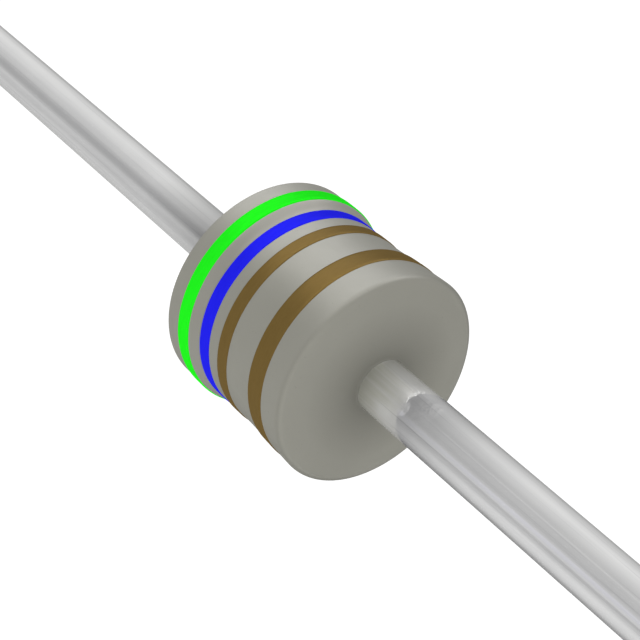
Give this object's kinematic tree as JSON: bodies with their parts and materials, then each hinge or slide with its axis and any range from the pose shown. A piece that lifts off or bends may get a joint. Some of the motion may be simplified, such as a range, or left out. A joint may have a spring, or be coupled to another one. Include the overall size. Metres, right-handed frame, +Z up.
{
  "type": "axial resistor",
  "caption": "Small axial metal film resistor: squat dog-bone coated body with painted colour bands and a straight tinned wire at each end.",
  "frame": {"origin": "middle of the coated body, on the axis of the wires", "axes": "+X along the wires towards the end with the wide last brown band, +Z up"},
  "size_m": [0.026, 0.0018, 0.0018],
  "materials": {
    "core_ceramic": "fired alumina rod, matt white",
    "film_metal": "nickel chromium film, dark satin",
    "cap_steel": "drawn steel, tin plated",
    "lead_tin": "drawn copper wire, bright tin plated",
    "coating_lacquer": "dipped epoxy lacquer, grey beige, satin gloss",
    "paint_green": "printed ring of enamel, green",
    "paint_blue": "printed ring of enamel, blue",
    "paint_brown": "printed ring of enamel, brown"
  },
  "bodies": {
    "root": {"ceramic_rod": "core_ceramic", "resistive_film": "film_metal", "end_cap_left": "cap_steel", "end_cap_right": "cap_steel", "lead_left": "lead_tin", "lead_right": "lead_tin", "coating": "coating_lacquer", "band_green": "paint_green", "band_blue": "paint_blue", "band_brown": "paint_brown", "band_brown_last": "paint_brown"}
  },
  "joints": []
}
